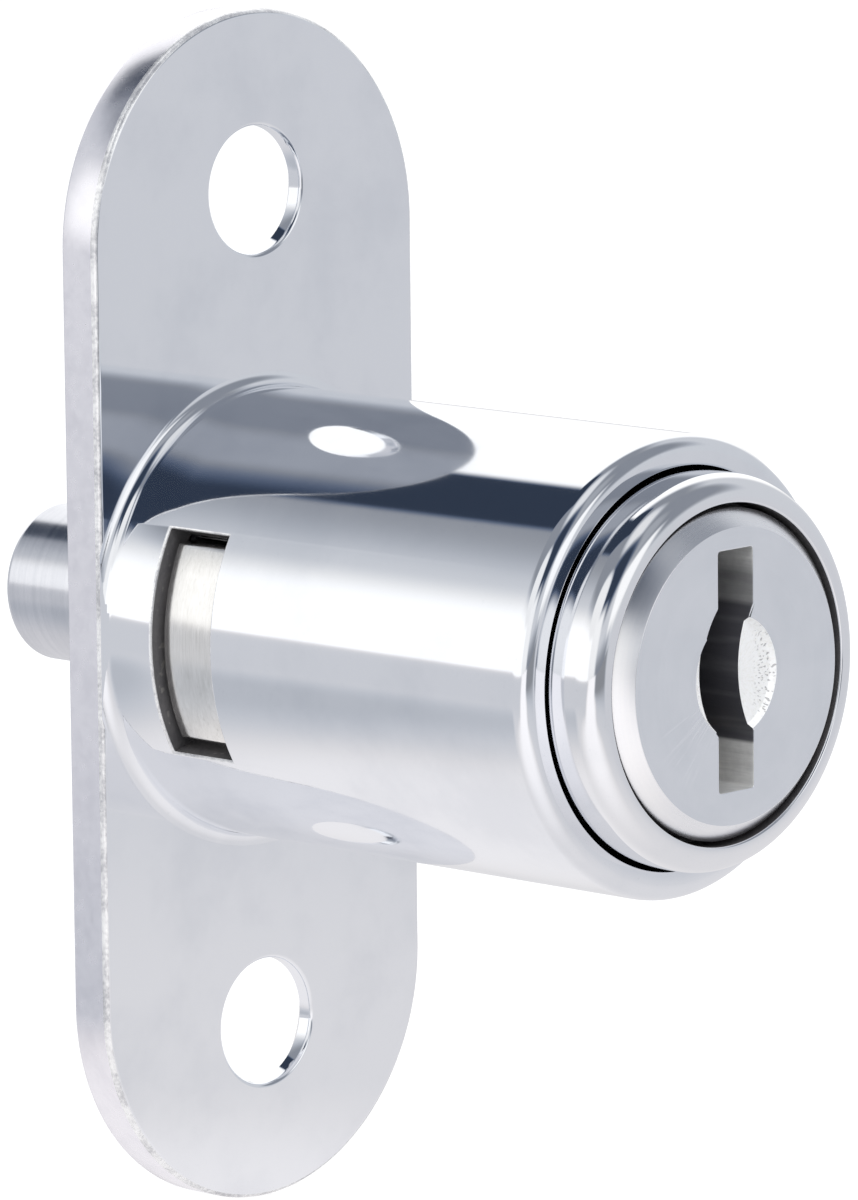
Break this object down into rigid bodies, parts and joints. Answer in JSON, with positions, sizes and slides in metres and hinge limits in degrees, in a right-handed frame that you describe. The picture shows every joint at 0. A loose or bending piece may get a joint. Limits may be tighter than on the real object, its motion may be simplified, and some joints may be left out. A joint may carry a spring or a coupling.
{
  "type": "drawer lock",
  "caption": "Push-type plunger lock: long round-ended mounting plate, cylindrical housing with a side window and catch, keyed plug in a sliding barrel, and a round bolt behind the plate.",
  "frame": {"origin": "On the lock's axis, in the plane of the mounting plate's front face, midway between the two screw holes.", "axes": "-Y is the way the key face looks and the barrel springs out; the bolt leaves towards +Y. +Z runs along the long side of the plate, +X to the right as the key face is seen."},
  "size_m": [0.019, 0.0388, 0.0508],
  "materials": {
    "chrome": "bright chrome plate on a zinc casting",
    "barrel_chrome": "bright chrome plate",
    "plug_nickel": "flat satin chrome plate, fine turning marks",
    "catch_nickel": "satin nickel plate, ground round its face",
    "bolt_steel": "chrome plated steel rod",
    "steel": "plain ground steel",
    "zinc": "bare zinc casting",
    "spring_steel": "drawn spring steel",
    "brass": "stamped brass"
  },
  "bodies": {
    "base": {"housing": "chrome", "guide_pin": "steel", "main_spring": "spring_steel"},
    "plunger": {"barrel": "barrel_chrome", "end_disc": "zinc", "bolt": "bolt_steel", "disc_screws": "steel", "catch_spring": "spring_steel"},
    "catch_plate": {"catch": "catch_nickel"},
    "key_plug": {"plug": "plug_nickel", "drive_pin": "steel", "plug_clip": "spring_steel", "wafer_springs": "spring_steel", "wafer_1": "brass", "wafer_2": "brass", "wafer_3": "brass", "wafer_4": "brass", "wafer_5": "brass", "wafer_6": "brass"}
  },
  "joints": [
    {"name": "plunger_slide", "type": "slide", "parent": "base", "child": "plunger", "axis": [0, -1, 0], "range_m": [0, 0.009], "deforming": ["main_spring"]},
    {"name": "plug_turn", "type": "hinge", "parent": "plunger", "child": "key_plug", "pos_m": [0, -0.0166, 0], "axis": [0, 1, 0], "range_deg": [0, 90]},
    {"name": "catch_slide", "type": "slide", "parent": "plunger", "child": "catch_plate", "axis": [1, 0, 0], "range_m": [0, 0.0012], "deforming": ["catch_spring"]}
  ],
  "couplings": [
    {"joint": "plug_turn", "follows": "plunger_slide", "rad_per_m": 174.53},
    {"joint": "catch_slide", "follows": "plunger_slide", "ratio": 0.13333}
  ]
}
